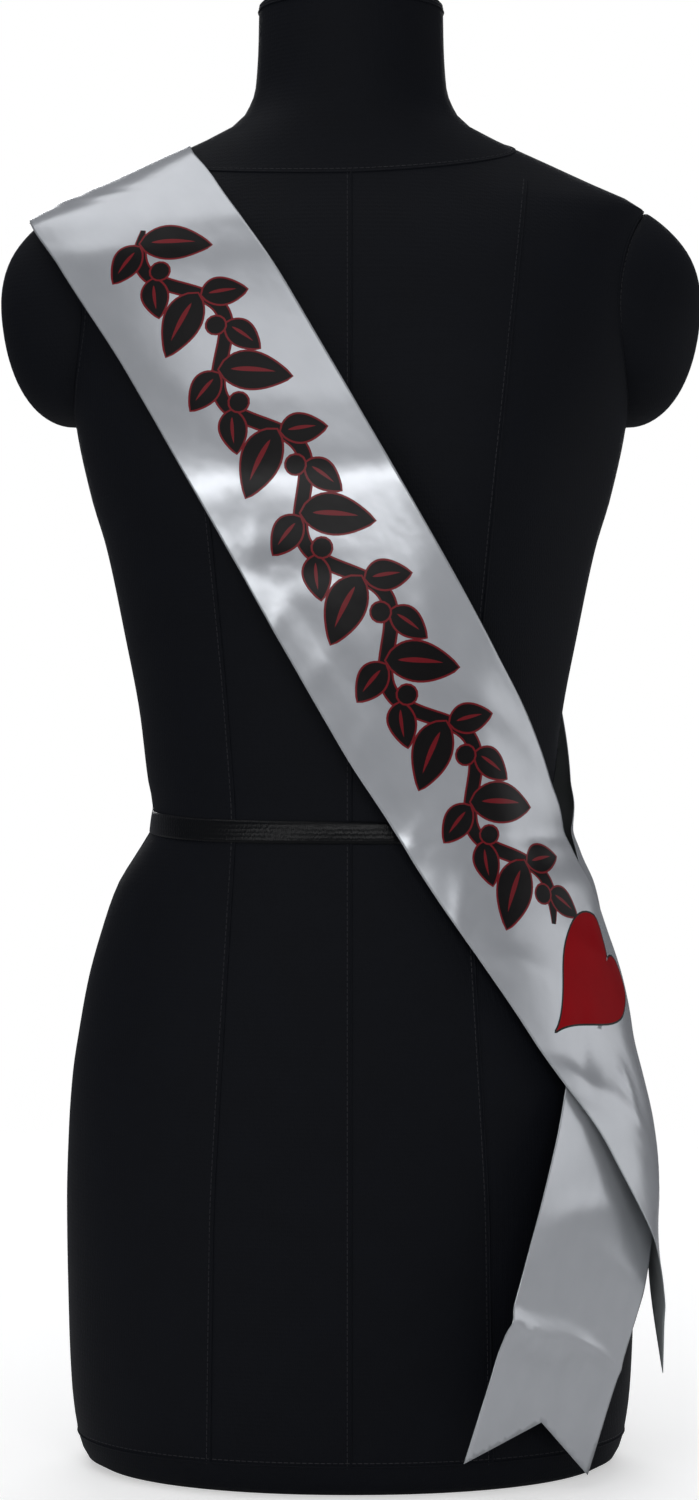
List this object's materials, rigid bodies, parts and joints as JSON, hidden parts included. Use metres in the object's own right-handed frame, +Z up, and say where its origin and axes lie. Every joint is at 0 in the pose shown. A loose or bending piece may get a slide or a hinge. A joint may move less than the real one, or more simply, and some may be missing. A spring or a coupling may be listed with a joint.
{
  "type": "ribbon sash on a dress form",
  "caption": "Wide satin ribbon sash worn from the right shoulder to the left hip of a limbless black dress form, with two swallowtail ends.",
  "frame": {"origin": "centre of the dress form's flat underside, which rests on the surface", "axes": "+Z up through the neck, -Y towards the viewer in front of the chest, +X towards the form's left side"},
  "size_m": [0.4074, 0.274, 0.847],
  "materials": {
    "satin_ribbon": "woven satin, white",
    "black_jersey": "knitted jersey, black, matt"
  },
  "bodies": {
    "root": {"sash_front_band": "satin_ribbon", "sash_back_band": "satin_ribbon", "sash_front_tail": "satin_ribbon", "sash_back_tail": "satin_ribbon", "form_torso": "black_jersey", "form_arm_pad_left": "black_jersey", "form_arm_pad_right": "black_jersey"}
  },
  "joints": []
}
